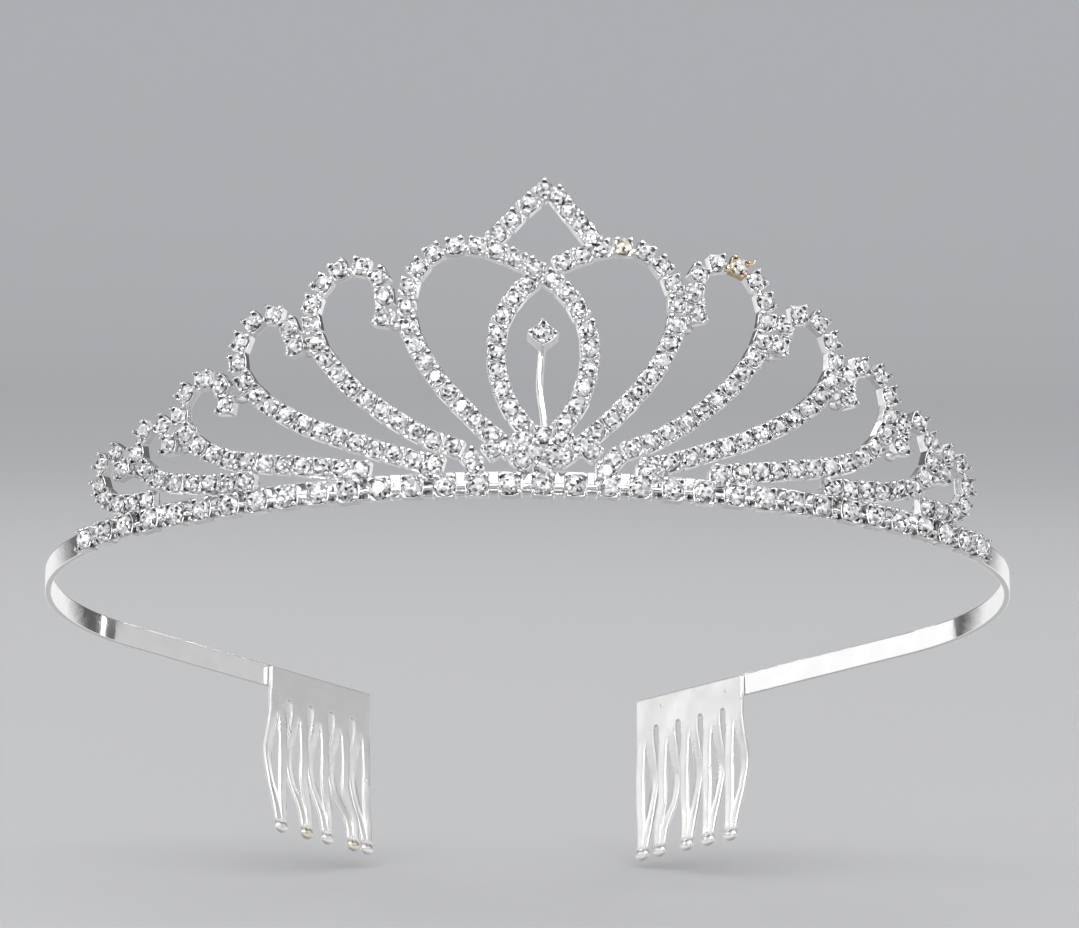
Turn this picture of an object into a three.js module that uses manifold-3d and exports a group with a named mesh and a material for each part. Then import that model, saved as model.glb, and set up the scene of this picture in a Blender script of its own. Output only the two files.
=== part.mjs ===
// Bridal tiara: a springy metal headband with a crown of crystal cup chain and a hair comb on each end.
// Millimetres, +Z up, +X to the viewer's right, +Y from the front of the tiara to its back.
// The origin is the centre of the head opening. The tiara is tipped back the way it sits on a head,
// so everything is first laid out flat in the plane of the headband and then tipped as one group.

import * as THREE from 'three';
import Module from 'manifold-3d';

const wasm = await Module();
wasm.setup();

// ---- Driving dimensions ----

const TILT = THREE.MathUtils.degToRad(20);
const HEAD_CENTRE_Y = 61;

// Half of the headband's plan, from the middle of the front: three arcs, then a straight arm.
// The right arm is a little longer than the left one.
const PLAN_ARCS = [
  { radius: 85, turn: THREE.MathUtils.degToRad(36) },
  { radius: 50, turn: THREE.MathUtils.degToRad(30) },
  { radius: 42, turn: THREE.MathUtils.degToRad(66) },
];
const ARM_STRAIGHT = { left: 53.5, right: 57.5 };
const STRIP_HEIGHT = 3.4;
const STRIP_THICKNESS = 0.9;
const STRIP_STEP = 3.5;
const FLEX_AT = 84;
const GAP = 0.3;

// Cup chain: small square cups joined by narrower links.
const CUP_WIDTH = 2.3;
const CUP_DEPTH = 2.2;
const CUP_PITCH = 2.75;
const LINK_LENGTH = 0.5;
const LINK_SHARE = 0.6;
const BEND_SPREAD = 0.7;
const CHAIN_OFFSET = 1.9;

const ROW_HALF = 72.3;
const ROW_PITCH = 4.38;
const ROW_CUP = { width: 2.5, depth: 2.4, link: 1.7, share: 0.45 };
const ROW_OFFSET = 1.95;
const ROW_HEIGHT = -0.8;

const STEM_RADIUS = 0.45;
const STEM_OFFSET = 0.05;
const STEM_SIDES = 8;
const SETTING = { size: 3.3, base: 0.9, prong: 0.55, prongRise: 1.6 };
const STONE = { radius: 1.15, girdle: 0.25, crown: 0.6, pavilion: 0.8, facets: 8 };
const STONE_PLACE = { u: 0.2, z: 21 };

const COMB = {
  teeth: 5,
  pitch: 4.86,
  slot: 1.2,
  thickness: 0.7,
  rise: 1.4,
  slotTop: 4.6,
  slitTop: 8,
  slitEnd: 21.5,
  neck: 24.4,
  tip: 26.6,
  tipWidth: 2.6,
  knobWidth: 3.0,
  lean: 0.6,
  bow: 1.3,
  inward: 1.2,
  slit: 0.7,
};

// ---- Centre lines of the crown: [distance along the band, height above the middle of the strip] ----

const LOOP = [
  [1.8, 2.4], [6.3, 6.1], [11.3, 11], [15.6, 16.8], [18.2, 23.1], [17.9, 28.8], [14.9, 32.8], [10.5, 33.9],
  [5.6, 32.6],
];
const LOOP_BUTT_END = [[2.4, 31.1]];
const CROSSING = [-0.3, 29.9];
const ALMOND = [[3.4, 26.6], [5.7, 22.6], [6.3, 18.2], [5.5, 13], [4, 9.6], [2.1, 7]];
const ALMOND_BUTT_END = [[1.45, 28.2]];
const PEAK_LONG = [[6.4, 35], [3.1, 38.5], [-0.9, 42.5]];
const PEAK_SHORT = [[6.5, 34.8], [3.9, 38.4], [2.1, 41]];
const STEM = [[0.7, 4.6], [0.2, 10], [-0.1, 14.5], [0.3, 17.5], [0.3, 20]];

// Each scroll starts at its curled tip, goes over the top and sweeps down to its foot on the band.
// shift and lift say how far the head of the hand-bent scroll strays outwards and upwards.
const SCROLLS = [
  {
    line: [
      [21.8, 23], [21.2, 26.6], [22.2, 30.7], [25.4, 32.3], [29, 31.3], [31.5, 27.3], [30.9, 21.7],
      [27.3, 16], [21.5, 10.4], [15, 6], [10.4, 3.8], [8.8, 1.7],
    ],
    left: { shift: 0.3, lift: -0.6 },
    right: { shift: -0.35, lift: 0.5 },
  },
  {
    line: [
      [33.6, 19.9], [34.3, 23], [35.8, 25.7], [38.7, 26.3], [41.6, 24], [42.5, 20], [40.4, 15.6],
      [35.5, 11.3], [29, 7.7], [22.3, 4.9], [17, 3], [13.2, 2.1],
    ],
    left: { shift: 0.4, lift: -0.4 },
    right: { shift: -0.7, lift: 0.4 },
  },
  {
    line: [
      [44.5, 13.2], [43.9, 15.8], [45.2, 18.7], [48.2, 19.4], [50.8, 17.4], [51.4, 13.9], [49.7, 10.2],
      [46, 7], [40, 4.9], [33, 3.5], [26.5, 2.4], [23.2, 2.1],
    ],
    left: { shift: 0.8, lift: -1.4 },
    right: { shift: -0.2, lift: 1.4 },
  },
  {
    line: [
      [53.4, 8.4], [53.1, 11], [54.3, 13.5], [57, 13.4], [58.8, 11], [58.3, 7.8], [55.4, 4.9],
      [50.5, 3.3], [45, 2.5], [39.8, 2.1],
    ],
    left: { shift: 0.9, lift: -0.8 },
    right: { shift: 0, lift: 0.9 },
  },
  {
    line: [
      [61.6, 6.3], [61.7, 8.8], [63.1, 10.8], [65.5, 10], [66.8, 7.4], [65.8, 4.5], [63.2, 2.8],
      [59.5, 2.2], [56.2, 2.1],
    ],
    left: { shift: 0.9, lift: -0.4 },
    right: { shift: -0.5, lift: 0.4 },
  },
];

// ---- Materials ----

const metal = (color, roughness) => new THREE.MeshStandardMaterial({ color, roughness, metalness: 1 });
const bandSilver = metal(0xe6e7ea, 0.12);
const chainSilver = metal(0xdfe1e6, 0.18);
const combSilver = metal(0xdcdcdc, 0.25);
const crystal = new THREE.MeshStandardMaterial({ color: 0xf4f8ff, roughness: 0.03, metalness: 0 });

// ---- The headband's plan ----

// Point, heading and outward direction at a distance u along the strip, in the plane of the headband.
function bandAt(u) {
  const side = Math.sign(u) || 1;
  const point = new THREE.Vector2(0, 0);
  let heading = 0;
  let left = Math.abs(u);
  for (const { radius, turn } of PLAN_ARCS) {
    const angle = Math.min(left / radius, turn);
    point.x += radius * (Math.sin(heading + angle) - Math.sin(heading));
    point.y += radius * (Math.cos(heading) - Math.cos(heading + angle));
    heading += angle;
    left = Math.max(left - radius * turn, 0);
  }
  point.x += left * Math.cos(heading);
  point.y += left * Math.sin(heading);
  return {
    x: side * point.x,
    y: point.y,
    outward: new THREE.Vector3(side * Math.sin(heading), -Math.cos(heading), 0),
  };
}

const BEND_END = PLAN_ARCS.reduce((sum, arc) => sum + arc.radius * arc.turn, 0);
const bandEnd = (side) => BEND_END + (side < 0 ? ARM_STRAIGHT.left : ARM_STRAIGHT.right);

// A point a given distance outside the strip's middle surface.
function onBand(u, z, offset) {
  const { x, y, outward } = bandAt(u);
  return new THREE.Vector3(x, y - HEAD_CENTRE_Y, z).addScaledVector(outward, offset);
}

// ---- Lofting ----

// A closed solid through rings that all have the same number of points.
function loft(rings) {
  const sides = rings[0].length;
  const positions = rings.flat().flatMap((p) => [p.x, p.y, p.z]);
  const faces = [];
  for (let ring = 0; ring + 1 < rings.length; ring += 1) {
    for (let side = 0; side < sides; side += 1) {
      const a = ring * sides + side;
      const b = ring * sides + ((side + 1) % sides);
      faces.push(a, b, a + sides, b, b + sides, a + sides);
    }
  }
  const last = (rings.length - 1) * sides;
  for (let side = 1; side + 1 < sides; side += 1) {
    faces.push(0, side + 1, side);
    faces.push(last, last + side, last + side + 1);
  }
  const geometry = new THREE.BufferGeometry();
  geometry.setAttribute('position', new THREE.Float32BufferAttribute(positions, 3));
  geometry.setIndex(faces);
  return outwardFacing(geometry);
}

// Turns the faces over where they point inwards.
function outwardFacing(geometry) {
  const place = geometry.getAttribute('position');
  const corner = [0, 1, 2].map(() => new THREE.Vector3());
  const index = geometry.index.array;
  let volume = 0;
  for (let face = 0; face < index.length; face += 3) {
    corner.forEach((point, k) => point.fromBufferAttribute(place, index[face + k]));
    volume += corner[0].dot(corner[1].cross(corner[2]));
  }
  if (volume < 0) {
    for (let face = 0; face < index.length; face += 3) {
      [index[face + 1], index[face + 2]] = [index[face + 2], index[face + 1]];
    }
  }
  geometry.computeVertexNormals();
  return geometry;
}

// ---- Headband ----

function stripBetween(from, to) {
  const stops = [from];
  const bendStop = Math.min(to, BEND_END);
  const steps = Math.ceil((bendStop - from) / STRIP_STEP);
  for (let step = 1; step <= steps; step += 1) {
    stops.push(from + ((bendStop - from) * step) / steps);
  }
  if (to > bendStop) {
    stops.push(to);
  }
  const high = STRIP_HEIGHT / 2;
  const out = STRIP_THICKNESS / 2;
  return stops.map((u) => [
    onBand(u, -high, -out),
    onBand(u, -high, out),
    onBand(u, high, out),
    onBand(u, high, -out),
  ]);
}

function armStrip(side) {
  const rings = stripBetween(FLEX_AT + GAP / 2, bandEnd(side));
  rings.flat().forEach((point) => point.setX(side * point.x));
  return loft(rings);
}

// ---- Cup chain ----

// Distances along the curve where one cup ends and the next begins: cups spread a little in a tight bend.
function cupJoints(curve, pitch) {
  const samples = 400;
  const length = curve.getLength();
  const step = length / samples;
  const count = [0];
  for (let i = 0; i < samples; i += 1) {
    const bend = curve.getTangentAt(i / samples).angleTo(curve.getTangentAt((i + 1) / samples)) / step;
    count.push(count[i] + step / (pitch * (1 + BEND_SPREAD * bend)));
  }
  const cups = Math.max(Math.round(count[samples]), 2);
  const joints = [];
  let i = 0;
  for (let joint = 0; joint <= cups; joint += 1) {
    const target = (count[samples] * joint) / cups;
    while (i < samples - 1 && count[i + 1] < target) {
      i += 1;
    }
    joints.push(step * (i + (target - count[i]) / (count[i + 1] - count[i])));
  }
  return joints;
}

// A rectangle square to the curve, with its flat side facing outwards from the band.
function chainSection(curve, at, offset, width, depth) {
  const length = curve.getLength();
  const share = THREE.MathUtils.clamp(at / length, 0, 1);
  const centre = curve.getPointAt(share);
  const along = curve.getTangentAt(share);
  const step = 0.01;
  const behind = onBand(centre.x - along.x * step, centre.y - along.y * step, offset);
  const ahead = onBand(centre.x + along.x * step, centre.y + along.y * step, offset);
  const forward = ahead.sub(behind).normalize();
  const outward = bandAt(centre.x).outward;
  const across = new THREE.Vector3().crossVectors(forward, outward).normalize();
  const middle = onBand(centre.x, centre.y, offset);
  const corner = (sideways, out) =>
    middle
      .clone()
      .addScaledVector(across, (sideways * width) / 2)
      .addScaledVector(outward, (out * depth) / 2);
  return [corner(-1, -1), corner(1, -1), corner(1, 1), corner(-1, 1)];
}

function chainCurve(line) {
  const points = line.map(([u, z]) => new THREE.Vector3(u, z, 0));
  return new THREE.CatmullRomCurve3(points, false, 'centripetal');
}

function cupChain(line, cup, pitch, offset) {
  const curve = chainCurve(line);
  const joints = cupJoints(curve, pitch);
  const rings = [];
  for (let i = 0; i + 1 < joints.length; i += 1) {
    const first = i === 0;
    const final = i + 2 === joints.length;
    const start = joints[i] + (first ? 0 : cup.link / 2);
    const end = joints[i + 1] - (final ? 0 : cup.link / 2);
    rings.push(chainSection(curve, start, offset, cup.width, cup.depth));
    rings.push(chainSection(curve, end, offset, cup.width, cup.depth));
    if (!final) {
      rings.push(chainSection(curve, joints[i + 1], offset, cup.width * cup.share, cup.depth * cup.share));
    }
  }
  return loft(rings);
}

const SMALL_CUP = { width: CUP_WIDTH, depth: CUP_DEPTH, link: LINK_LENGTH, share: LINK_SHARE };
const crownChain = (line) => cupChain(line, SMALL_CUP, CUP_PITCH, CHAIN_OFFSET);
const mirrored = (line) => line.map(([u, z]) => [-u, z]);

function rowChain() {
  const line = [[-ROW_HALF, ROW_HEIGHT], [0, ROW_HEIGHT], [ROW_HALF, ROW_HEIGHT]];
  return cupChain(line, ROW_CUP, ROW_PITCH, ROW_OFFSET);
}

function scrollLine({ line, left, right }, side) {
  const { shift, lift } = side < 0 ? left : right;
  const top = Math.max(...line.map(([, z]) => z));
  const foot = line[line.length - 1][1];
  return line.map(([u, z]) => {
    const share = THREE.MathUtils.smoothstep(z, foot, top);
    return [side * (u + shift * share), z + lift * share];
  });
}

// ---- Stem with its single stone ----

function stemWire() {
  const curve = chainCurve(STEM);
  const steps = 14;
  const rings = [];
  for (let step = 0; step <= steps; step += 1) {
    const centre = curve.getPointAt(step / steps);
    const along = curve.getTangentAt(step / steps);
    rings.push(
      Array.from({ length: STEM_SIDES }, (_, side) => {
        const angle = (side / STEM_SIDES) * 2 * Math.PI;
        const sideways = Math.cos(angle) * STEM_RADIUS;
        const out = STEM_OFFSET + Math.sin(angle) * STEM_RADIUS;
        return onBand(centre.x + along.y * sideways, centre.y - along.x * sideways, out);
      }),
    );
  }
  return loft(rings);
}

function toSolid(geometry) {
  const place = geometry.getAttribute('position');
  const keys = new Map();
  const vertices = [];
  const triangles = [];
  const order = geometry.index ? geometry.index.array : [...Array(place.count).keys()];
  for (const i of order) {
    const point = [place.getX(i), place.getY(i), place.getZ(i)];
    const key = point.map((value) => value.toFixed(4)).join();
    if (!keys.has(key)) {
      keys.set(key, keys.size);
      vertices.push(...point);
    }
    triangles.push(keys.get(key));
  }
  const mesh = new wasm.Mesh({
    numProp: 3,
    vertProperties: new Float32Array(vertices),
    triVerts: new Uint32Array(triangles),
  });
  return new wasm.Manifold(mesh);
}

function toGeometry(solid) {
  const { vertProperties, triVerts } = solid.getMesh();
  const geometry = new THREE.BufferGeometry();
  geometry.setAttribute('position', new THREE.BufferAttribute(new Float32Array(vertProperties), 3));
  geometry.setIndex(new THREE.BufferAttribute(new Uint32Array(triVerts), 1));
  geometry.computeVertexNormals();
  return geometry;
}

// Square cup with a prong at each corner. Its back face is at z = 0 and it opens towards +Z.
function prongSetting() {
  const { size, base, prong, prongRise } = SETTING;
  const plate = new THREE.BoxGeometry(size, size, base).translate(0, 0, base / 2);
  let solid = toSolid(plate);
  for (const [x, y] of [[-1, -1], [1, -1], [1, 1], [-1, 1]]) {
    const reach = (size - prong) / 2;
    const height = base / 2 + prongRise;
    const post = new THREE.BoxGeometry(prong, prong, height);
    solid = solid.add(toSolid(post.translate(x * reach, y * reach, base / 2 + height / 2)));
  }
  return toGeometry(solid);
}

// Faceted stone with its point towards -Z.
function facetedStone() {
  const { radius, girdle, crown, pavilion, facets } = STONE;
  const profile = [
    [0, 0],
    [radius, pavilion],
    [radius, pavilion + girdle],
    [radius * 0.6, pavilion + girdle + crown],
    [0, pavilion + girdle + crown],
  ].map(([r, z]) => new THREE.Vector2(r, z));
  return new THREE.LatheGeometry(profile, facets).rotateX(Math.PI / 2);
}

// Group at the stem's end whose +Z points out of the front of the crown, turned to stand on a corner.
function stoneHolder() {
  const holder = new THREE.Group();
  const back = STEM_OFFSET + STEM_RADIUS + GAP;
  holder.position.copy(onBand(STONE_PLACE.u, STONE_PLACE.z, back));
  holder.rotation.set(Math.PI / 2, 0, Math.PI / 4);
  return holder;
}

// ---- Hair combs ----

const COMB_LENGTH = COMB.teeth * COMB.pitch - COMB.slot;
const TOOTH_WIDTH = COMB.pitch - COMB.slot;
const BOW_LEVELS = [10, 12.5, 15, 17.5, 20];

const combTaper = (t) => THREE.MathUtils.smoothstep(t, COMB.slitTop, COMB.neck);
const toothMiddle = (t) => TOOTH_WIDTH / 2 + COMB.lean * combTaper(t);
const toothHalf = (t) => THREE.MathUtils.lerp(TOOTH_WIDTH, COMB.tipWidth, combTaper(t)) / 2;

// The comb is drawn flat: s runs along the band from the comb's outer edge, t runs down from its top.
// Plate with tapering teeth that end in rounded knobs, and a rounded slot between each two teeth.
function combOutline() {
  const shape = new THREE.Shape();
  const slotShoulder = COMB.slotTop + COMB.slot / 2;
  const levels = [COMB.slitTop, ...BOW_LEVELS, COMB.slitEnd, COMB.neck];
  const knob = COMB.knobWidth / 2;
  const knobT = (COMB.neck + COMB.tip) / 2;
  shape.moveTo(0, 0);
  for (let tooth = 0; tooth < COMB.teeth; tooth += 1) {
    const from = tooth * COMB.pitch;
    const middle = from + toothMiddle(COMB.neck);
    levels.forEach((t) => shape.lineTo(from + toothMiddle(t) - toothHalf(t), -t));
    shape.quadraticCurveTo(middle - knob * 1.15, -knobT, middle - knob * 0.6, -COMB.tip);
    shape.lineTo(middle + knob * 0.6, -COMB.tip);
    shape.quadraticCurveTo(middle + knob * 1.15, -knobT, middle + toothHalf(COMB.neck), -COMB.neck);
    [...levels].reverse().forEach((t) => shape.lineTo(from + toothMiddle(t) + toothHalf(t), -t));
    if (tooth + 1 < COMB.teeth) {
      shape.lineTo(from + TOOTH_WIDTH, -slotShoulder);
      shape.absarc(from + TOOTH_WIDTH + COMB.slot / 2, -slotShoulder, COMB.slot / 2, Math.PI, 0, true);
    }
    shape.holes.push(toothSlit(from));
  }
  shape.lineTo(COMB_LENGTH, 0);
  return shape;
}

// Long lens-shaped slit that splits a tooth into two tines.
function toothSlit(from) {
  const slit = new THREE.Path();
  const half = (t) => {
    const share = (t - COMB.slitTop) / (COMB.slitEnd - COMB.slitTop);
    return (COMB.slit / 2) * Math.sin(Math.PI * share);
  };
  slit.moveTo(from + toothMiddle(COMB.slitTop), -COMB.slitTop);
  BOW_LEVELS.forEach((t) => slit.lineTo(from + toothMiddle(t) + half(t), -t));
  slit.lineTo(from + toothMiddle(COMB.slitEnd), -COMB.slitEnd);
  [...BOW_LEVELS].reverse().forEach((t) => slit.lineTo(from + toothMiddle(t) - half(t), -t));
  slit.closePath();
  return slit;
}

// How far a point of the comb stands out of its flat plane: outer tines bow out, tips curve in.
function combReach(s, t) {
  const place = s - Math.floor(s / COMB.pitch) * COMB.pitch;
  const below = Math.max(t - COMB.slotTop, 0) / (COMB.tip - COMB.slotTop);
  const inward = -COMB.inward * below * below;
  const share = THREE.MathUtils.clamp((t - COMB.slitTop) / (COMB.slitEnd - COMB.slitTop), 0, 1);
  const outerTine = place < toothMiddle(t);
  return inward + (outerTine ? COMB.bow * Math.sin(Math.PI * share) ** 2 : 0);
}

// Extrudes a flat outline of the comb and lays it against the inside of one arm.
function combSolid(outline, side) {
  const flat = new THREE.ExtrudeGeometry(outline, {
    depth: COMB.thickness,
    bevelEnabled: false,
    curveSegments: 4,
  });
  const start = bandEnd(side) - COMB_LENGTH;
  const back = -STRIP_THICKNESS / 2 - GAP - COMB.thickness;
  const place = flat.getAttribute('position');
  for (let i = 0; i < place.count; i += 1) {
    const s = place.getX(i);
    const t = -place.getY(i);
    const point = onBand(start + s, COMB.rise - t, back + place.getZ(i) + combReach(s, t));
    place.setXYZ(i, side * point.x, point.y, point.z);
  }
  const laid = new THREE.BufferGeometry();
  laid.setAttribute('position', place);
  laid.setIndex([...Array(place.count).keys()]);
  return toSolid(outwardFacing(laid));
}

function comb(side) {
  return toGeometry(combSolid(combOutline(), side));
}

// ---- Assembly ----

const tiara = new THREE.Group();
tiara.rotation.x = -TILT;

function addPart(parent, name, geometry, material) {
  const mesh = new THREE.Mesh(geometry, material);
  mesh.name = name;
  parent.add(mesh);
}

addPart(tiara, 'headband_front', loft(stripBetween(-FLEX_AT + GAP / 2, FLEX_AT - GAP / 2)), bandSilver);
addPart(tiara, 'headband_left_arm', armStrip(-1), bandSilver);
addPart(tiara, 'headband_right_arm', armStrip(1), bandSilver);
addPart(tiara, 'left_comb', comb(-1), combSilver);
addPart(tiara, 'right_comb', comb(1), combSilver);

addPart(tiara, 'band_row_chain', rowChain(), chainSilver);

// The left loop's chain runs on through the crossing as the right side of the almond.
const loopThrough = [...mirrored(LOOP), CROSSING, ...ALMOND];
addPart(tiara, 'left_loop_chain', crownChain(loopThrough), chainSilver);
addPart(tiara, 'right_loop_chain', crownChain([...LOOP, ...LOOP_BUTT_END]), chainSilver);
addPart(tiara, 'left_almond_chain', crownChain(mirrored([...ALMOND_BUTT_END, ...ALMOND])), chainSilver);
addPart(tiara, 'left_peak_chain', crownChain(mirrored(PEAK_LONG)), chainSilver);
addPart(tiara, 'right_peak_chain', crownChain(PEAK_SHORT), chainSilver);

SCROLLS.forEach((scroll, i) => {
  addPart(tiara, `left_scroll_${i + 1}_chain`, crownChain(scrollLine(scroll, -1)), chainSilver);
  addPart(tiara, `right_scroll_${i + 1}_chain`, crownChain(scrollLine(scroll, 1)), chainSilver);
});

addPart(tiara, 'stem_wire', stemWire(), bandSilver);
const holder = stoneHolder();
addPart(holder, 'stem_setting', prongSetting(), chainSilver);
const stone = facetedStone().translate(0, 0, SETTING.base + GAP);
addPart(holder, 'stem_stone', stone, crystal);
tiara.add(holder);

export default tiara;
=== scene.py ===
import math
import random

import bmesh
import bpy
from mathutils import Matrix, Vector


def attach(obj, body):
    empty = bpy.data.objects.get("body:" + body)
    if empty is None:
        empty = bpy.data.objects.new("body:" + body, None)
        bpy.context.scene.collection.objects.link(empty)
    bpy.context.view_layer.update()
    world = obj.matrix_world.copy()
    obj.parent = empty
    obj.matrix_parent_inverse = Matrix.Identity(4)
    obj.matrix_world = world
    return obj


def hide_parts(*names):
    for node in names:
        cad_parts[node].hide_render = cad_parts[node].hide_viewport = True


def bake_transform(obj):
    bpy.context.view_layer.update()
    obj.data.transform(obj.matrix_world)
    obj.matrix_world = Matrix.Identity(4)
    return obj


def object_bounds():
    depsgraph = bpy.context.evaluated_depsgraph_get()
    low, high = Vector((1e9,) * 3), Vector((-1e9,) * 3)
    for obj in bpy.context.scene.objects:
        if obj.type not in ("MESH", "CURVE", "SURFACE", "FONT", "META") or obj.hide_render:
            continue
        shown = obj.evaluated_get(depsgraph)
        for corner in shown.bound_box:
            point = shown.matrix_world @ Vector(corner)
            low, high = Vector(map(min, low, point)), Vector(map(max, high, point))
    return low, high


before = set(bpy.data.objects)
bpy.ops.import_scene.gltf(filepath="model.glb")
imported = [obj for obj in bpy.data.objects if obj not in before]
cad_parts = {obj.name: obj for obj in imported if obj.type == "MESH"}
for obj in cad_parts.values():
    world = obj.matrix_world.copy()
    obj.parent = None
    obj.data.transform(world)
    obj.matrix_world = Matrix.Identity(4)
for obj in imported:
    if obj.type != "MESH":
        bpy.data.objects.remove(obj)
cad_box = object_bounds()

random.seed(7)
MM = 0.001

# ---- Sizes shared with the CAD model, in millimetres ----

TILT = math.radians(20)
HEAD_CENTRE_Y = 61
# Half of the band's plan from the middle of its front: (radius, turn) of each arc, then a straight end.
PLAN_ARCS = [(85, math.radians(36)), (50, math.radians(30)), (42, math.radians(66))]
BEND_END = sum(radius * turn for radius, turn in PLAN_ARCS)
BAND_END = {-1: BEND_END + 53.5, 1: BEND_END + 57.5}
STRIP_HEIGHT = 3.4
STRIP_THICKNESS = 0.9
FRONT_HALF = 60  # the front piece of the strip in this model
FLEX_FROM, FLEX_TO = 74, 94  # the stretch of each arm meant to bend; nothing here bends it
CHAIN_OFFSET = 1.9
ROW_OFFSET = 1.95
ROW_HEIGHT = -0.8
ROW_HALF = 72.3
ROW_PITCH = 4.38
CUP_PITCH = 2.75
BEND_SPREAD = 0.7  # how far cups move apart where a chain bends sharply

# Centre lines on the band: (distance along it from the middle, height above its mid-height). The right-hand
# pieces are written, and left ones are mirrored.
LOOP_RISE = [(1.8, 2.4), (6.3, 6.1)]
LOOP = [(11.3, 11), (15.6, 16.8), (18.2, 23.1), (17.9, 28.8), (14.9, 32.8), (10.5, 33.9), (5.6, 32.6)]
CROSSING = [(-0.3, 29.9)]
ALMOND = [(3.4, 26.6), (5.7, 22.6), (6.3, 18.2), (5.5, 13), (4, 9.6), (2.1, 7)]
STEM = [(0.55, 4.6), (0.15, 9.5), (-0.4, 14), (-0.2, 17.5), (0, 20)]
# Each scroll: centre line, then (shift, lift) of its head on the left and on the right.
SCROLLS = [
    ([(21.8, 23), (21.2, 26.6), (22.2, 30.7), (25.4, 32.3), (29, 31.3), (31.5, 27.3), (30.9, 21.7),
      (27.3, 16), (21.5, 10.4), (15, 6), (10.4, 3.8), (8.8, 1.7)], (0.3, -0.6), (-0.35, 0.5)),
    ([(33.6, 19.9), (34.3, 23), (35.8, 25.7), (38.7, 26.3), (41.6, 24), (42.5, 20), (40.4, 15.6),
      (35.5, 11.3), (29, 7.7), (22.3, 4.9), (17, 3), (13.2, 2.1)], (0.4, -0.4), (-0.7, 0.4)),
    ([(44.5, 13.2), (43.9, 15.8), (45.2, 18.7), (48.2, 19.4), (50.8, 17.4), (51.4, 13.9), (49.7, 10.2),
      (46, 7), (40, 4.9), (33, 3.5), (26.5, 2.4), (23.2, 2.1)], (0.8, -1.4), (-0.2, 1.4)),
    ([(53.4, 8.4), (53.1, 11), (54.3, 13.5), (57, 13.4), (58.8, 11), (58.3, 7.8), (55.4, 4.9),
      (50.5, 3.3), (45, 2.5), (39.8, 2.1)], (0.9, -0.8), (0, 0.9)),
    ([(61.6, 6.3), (61.7, 8.8), (63.1, 10.8), (65.5, 10), (66.8, 7.4), (65.8, 4.5), (63.2, 2.8),
      (59.5, 2.2), (56.2, 2.1)], (0.9, -0.4), (-0.5, 0.4)),
]


# ---- Places on the headband ----

def tipped(x, y, z):
    """A point laid out flat in the headband's plane, tipped into the row frame, in metres."""
    c, s = math.cos(TILT), math.sin(TILT)
    return Vector((x, y * c + z * s, -y * s + z * c)) * MM


def band_at(u):
    """Plan of the band at distance u from the middle of its front: x, y, and the outward direction."""
    side = -1 if u < 0 else 1
    left, heading, x, y = abs(u), 0.0, 0.0, 0.0
    for radius, turn in PLAN_ARCS:
        angle = min(left / radius, turn)
        x += radius * (math.sin(heading + angle) - math.sin(heading))
        y += radius * (math.cos(heading) - math.cos(heading + angle))
        heading += angle
        left = max(left - radius * turn, 0)
    x += left * math.cos(heading)
    y += left * math.sin(heading)
    return side * x, y, side * math.sin(heading), -math.cos(heading)


def on_band(u, z, offset):
    """A point above the band's centre line by z and out from it by offset."""
    x, y, nx, ny = band_at(u)
    return tipped(x + nx * offset, y - HEAD_CENTRE_Y + ny * offset, z)


def outward_at(u):
    _, _, nx, ny = band_at(u)
    return tipped(nx, ny, 0).normalized()


def place_at(u, z, offset, du=1.0, dz=0.0):
    """Matrix from local millimetres (x along, y across, z outwards) to the row frame."""
    step = 0.01
    forward = on_band(u + du * step, z + dz * step, offset) - on_band(u - du * step, z - dz * step, offset)
    forward.normalize()
    outward = outward_at(u)
    outward = (outward - forward * outward.dot(forward)).normalized()
    across = outward.cross(forward)
    m = Matrix((forward, across, outward)).transposed().to_4x4()
    m = m @ Matrix.Diagonal((MM, MM, MM, 1))
    m.translation = on_band(u, z, offset)
    return m


# ---- Centre lines ----

class Line:
    """Smooth curve through points (a centripetal spline), walked by distance."""
    STEPS = 40

    def __init__(self, points):
        self.points = [Vector(p) for p in points]
        self.samples = []
        self.at = [0.0]
        for i in range(len(points) - 1):
            for k in range(self.STEPS):
                self.samples.append(self._point(i, k / self.STEPS))
        self.samples.append(self.points[-1].copy())
        for a, b in zip(self.samples, self.samples[1:]):
            self.at.append(self.at[-1] + (b - a).length)
        self.length = self.at[-1]

    def _point(self, i, t):
        p = self.points
        p1, p2 = p[i], p[i + 1]
        p0 = p[i - 1] if i > 0 else p1 * 2 - p2
        p3 = p[i + 2] if i + 2 < len(p) else p2 * 2 - p1
        d0, d1, d2 = ((b - a).length_squared ** 0.25 for a, b in ((p0, p1), (p1, p2), (p2, p3)))
        t1 = ((p1 - p0) / d0 - (p2 - p0) / (d0 + d1) + (p2 - p1) / d1) * d1
        t2 = ((p2 - p1) / d1 - (p3 - p1) / (d1 + d2) + (p3 - p2) / d2) * d1
        c2 = p1 * -3 + p2 * 3 - t1 * 2 - t2
        c3 = p1 * 2 - p2 * 2 + t1 + t2
        return p1 + t1 * t + c2 * t * t + c3 * t * t * t

    def point(self, distance):
        distance = min(max(distance, 0), self.length)
        low, high = 0, len(self.at) - 1
        while high - low > 1:
            mid = (low + high) // 2
            if self.at[mid] <= distance:
                low = mid
            else:
                high = mid
        share = (distance - self.at[low]) / max(self.at[high] - self.at[low], 1e-9)
        return self.samples[low].lerp(self.samples[high], share)

    def along(self, distance):
        e = 0.15
        return (self.point(distance + e) - self.point(distance - e)).normalized()


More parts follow.
